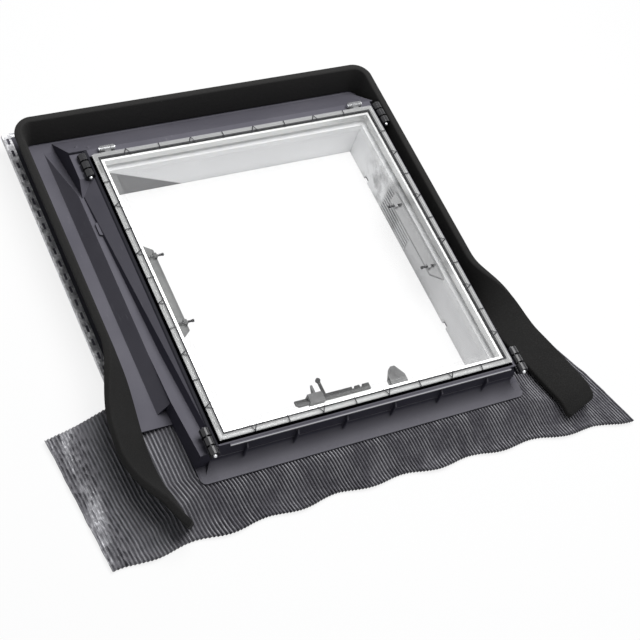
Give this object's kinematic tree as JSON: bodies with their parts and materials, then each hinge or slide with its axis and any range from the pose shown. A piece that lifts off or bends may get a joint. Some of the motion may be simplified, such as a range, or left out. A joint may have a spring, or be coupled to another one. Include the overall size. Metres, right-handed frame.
{
  "type": "roof_exit_window",
  "caption": "Roof exit window with a tile-like moulded frame, a clear ribbed sash hinged at the rear, a sliding latch inside, a pleated apron in front and a loose foam strip round the sides.",
  "frame": {"origin": "Middle of the footprint's box, on the plane of the collar's foot", "axes": "+X across the roof to the right as seen from below the window, +Y up the roof slope towards the hinges, +Z out of the roof"},
  "size_m": [0.9933, 0.8098, 0.1025],
  "materials": {
    "frame_plastic": "anthracite moulded plastic with a light sheen",
    "lining_plastic": "pale grey moulded plastic",
    "seal_rubber": "black rubber",
    "black_plastic": "black moulded plastic, slightly glossy",
    "pin_steel": "bright steel",
    "edging_metal": "folded grey-coated aluminium",
    "apron_metal": "grey-coated pleated soft metal sheet, shiny on the folds",
    "foam": "black open-cell foam",
    "clear_acrylic": "clear glossy acrylic"
  },
  "bodies": {
    "frame": {"flashing_frame": "frame_plastic", "lining_left": "lining_plastic", "lining_right": "lining_plastic", "lining_front": "lining_plastic", "lining_rear": "lining_plastic", "frame_seal": "seal_rubber", "catch_left": "lining_plastic", "catch_right": "lining_plastic", "catch_pins_left": "black_plastic", "catch_pins_right": "black_plastic", "keeper": "frame_plastic", "frame_hinge_left": "black_plastic", "frame_hinge_right": "black_plastic", "hinge_pin_left": "pin_steel", "hinge_pin_right": "pin_steel", "knuckles_rear_left": "black_plastic", "knuckles_rear_right": "black_plastic", "knuckles_front_left": "black_plastic", "knuckles_front_right": "black_plastic", "knuckle_pins": "pin_steel", "edging_left": "edging_metal", "edging_rear": "edging_metal", "edging_right": "edging_metal", "apron": "apron_metal", "foam_strip": "foam"},
    "sash": {"sash_frame": "clear_acrylic", "outer_pane": "clear_acrylic", "inner_pane": "clear_acrylic", "spacer_gasket": "seal_rubber", "sash_hinge_left": "black_plastic", "sash_hinge_right": "black_plastic", "latch_guide": "frame_plastic"},
    "latch": {"latch_bar": "black_plastic"}
  },
  "joints": [
    {"name": "sash_hinge", "type": "hinge", "parent": "frame", "child": "sash", "pos_m": [0, 0.292, 0.097], "axis": [-1, 0, 0], "range_deg": [0, 85]},
    {"name": "latch_slide", "type": "slide", "parent": "sash", "child": "latch", "axis": [1, 0, 0], "range_m": [0, 0.045]}
  ]
}
